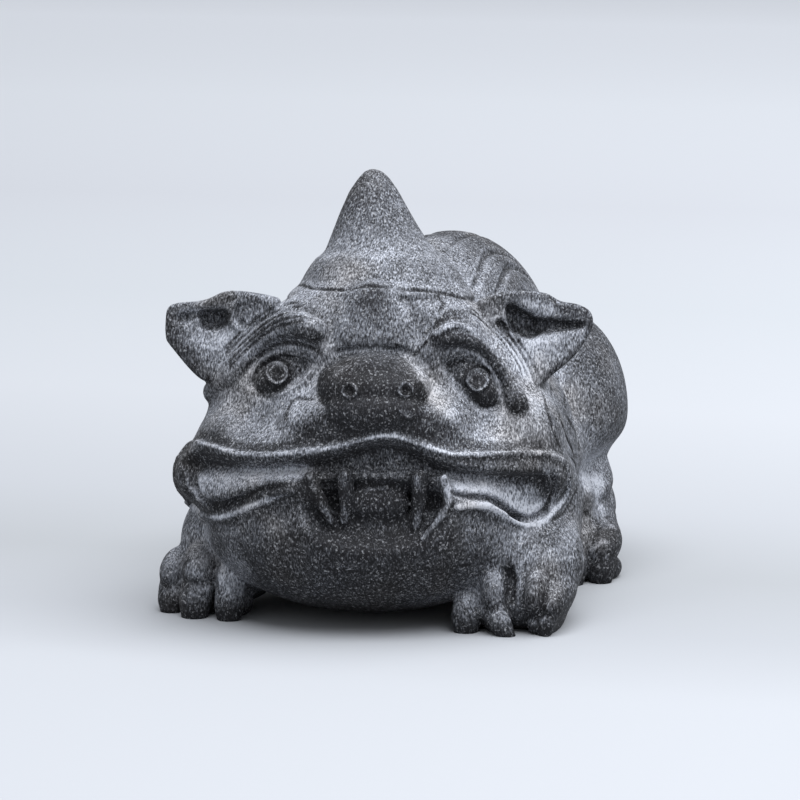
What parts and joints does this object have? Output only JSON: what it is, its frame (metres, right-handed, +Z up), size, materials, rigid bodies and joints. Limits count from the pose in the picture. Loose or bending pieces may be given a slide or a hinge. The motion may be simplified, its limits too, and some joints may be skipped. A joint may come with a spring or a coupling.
{
  "type": "carved stone figure",
  "caption": "Small crouching pixiu carved in one piece of dark stone, with a cone horn, wide toothed mouth and leaf-shaped ears, lying on its paws.",
  "frame": {"origin": "middle of the bounding box, on the floor that the paws rest on", "axes": "+Z up, -Y the way the figure's body faces, +X its left side; its head turns towards its left"},
  "size_m": [0.046, 0.07, 0.0476],
  "materials": {
    "stone": "rough blasted stone, nearly black on the rubbed bosses and dusty grey in the hollows"
  },
  "bodies": {
    "root": {"pixiu_figure": "stone"}
  },
  "joints": []
}
